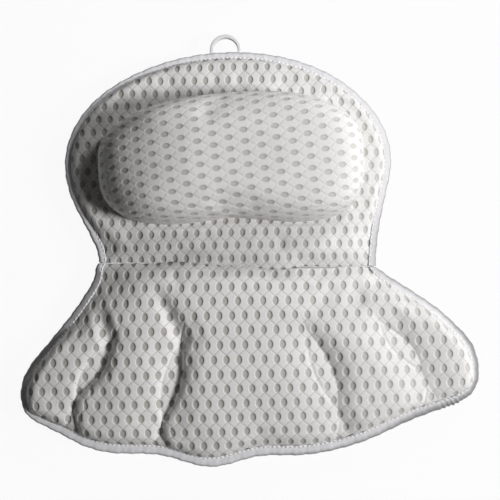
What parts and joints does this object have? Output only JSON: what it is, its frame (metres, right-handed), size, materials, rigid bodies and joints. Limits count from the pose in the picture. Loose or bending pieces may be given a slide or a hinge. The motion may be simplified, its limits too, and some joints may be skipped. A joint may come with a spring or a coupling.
{
  "type": "bath pillow",
  "caption": "Soft bath pillow of white spacer mesh: a head panel with a stuffed neck roll folds at a waist seam to a fan-shaped quilted back panel, held by suction cups on its back.",
  "frame": {"origin": "middle of the overall box on the surface that the suction cups' lips stand on", "axes": "the pillow lies on its back: +X to the right seen from the front, +Y from the back panel towards the head, +Z out of the front face"},
  "size_m": [0.428, 0.396, 0.0844],
  "materials": {
    "spacer_mesh": "off-white knitted spacer mesh with lens-shaped holes",
    "fibre_padding": "white fibre filling",
    "binding_tape": "satin woven edge tape",
    "patch_cloth": "coated woven patch",
    "cup_pvc": "clear soft moulded plastic"
  },
  "bodies": {
    "back_panel": {"back_front_cover": "spacer_mesh", "back_padding": "fibre_padding", "back_rear_cover": "spacer_mesh", "back_binding": "binding_tape", "waist_seam": "binding_tape", "cup_patch_waist_left": "patch_cloth", "cup_patch_waist_right": "patch_cloth", "cup_patch_lobe_left": "patch_cloth", "cup_patch_lobe_right": "patch_cloth"},
    "head_panel": {"head_front_cover": "spacer_mesh", "head_padding": "fibre_padding", "head_rear_cover": "spacer_mesh", "head_binding": "binding_tape", "neck_roll_cover": "spacer_mesh", "neck_roll_filling": "fibre_padding", "cup_patch_head_left": "patch_cloth", "cup_patch_head_right": "patch_cloth"},
    "loop": {"hanging_loop": "binding_tape"},
    "cup_head_left": {"suction_cup_head_left": "cup_pvc"},
    "cup_head_right": {"suction_cup_head_right": "cup_pvc"},
    "cup_waist_left": {"suction_cup_waist_left": "cup_pvc"},
    "cup_waist_right": {"suction_cup_waist_right": "cup_pvc"},
    "cup_lobe_left": {"suction_cup_lobe_left": "cup_pvc"},
    "cup_lobe_right": {"suction_cup_lobe_right": "cup_pvc"}
  },
  "joints": [
    {"name": "waist_fold", "type": "hinge", "parent": "back_panel", "child": "head_panel", "pos_m": [0, -0.0154, 0.01715], "axis": [1, 0, 0], "range_deg": [-75, 75]},
    {"name": "loop_flip", "type": "hinge", "parent": "head_panel", "child": "loop", "pos_m": [0, 0.1844, 0.01715], "axis": [1, 0, 0], "range_deg": [-80, 80], "stiffness_Nm_per_rad": 0.004},
    {"name": "cup_head_left_spin", "type": "hinge", "parent": "head_panel", "child": "cup_head_left", "pos_m": [-0.084, 0.1066, 0], "axis": [0, 0, 1], "continuous": true},
    {"name": "cup_head_right_spin", "type": "hinge", "parent": "head_panel", "child": "cup_head_right", "pos_m": [0.084, 0.1066, 0], "axis": [0, 0, 1], "continuous": true},
    {"name": "cup_waist_left_spin", "type": "hinge", "parent": "back_panel", "child": "cup_waist_left", "pos_m": [-0.07, -0.0534, 0], "axis": [0, 0, 1], "continuous": true},
    {"name": "cup_waist_right_spin", "type": "hinge", "parent": "back_panel", "child": "cup_waist_right", "pos_m": [0.07, -0.0534, 0], "axis": [0, 0, 1], "continuous": true},
    {"name": "cup_lobe_left_spin", "type": "hinge", "parent": "back_panel", "child": "cup_lobe_left", "pos_m": [-0.116, -0.1274, 0], "axis": [0, 0, 1], "continuous": true},
    {"name": "cup_lobe_right_spin", "type": "hinge", "parent": "back_panel", "child": "cup_lobe_right", "pos_m": [0.116, -0.1274, 0], "axis": [0, 0, 1], "continuous": true}
  ]
}
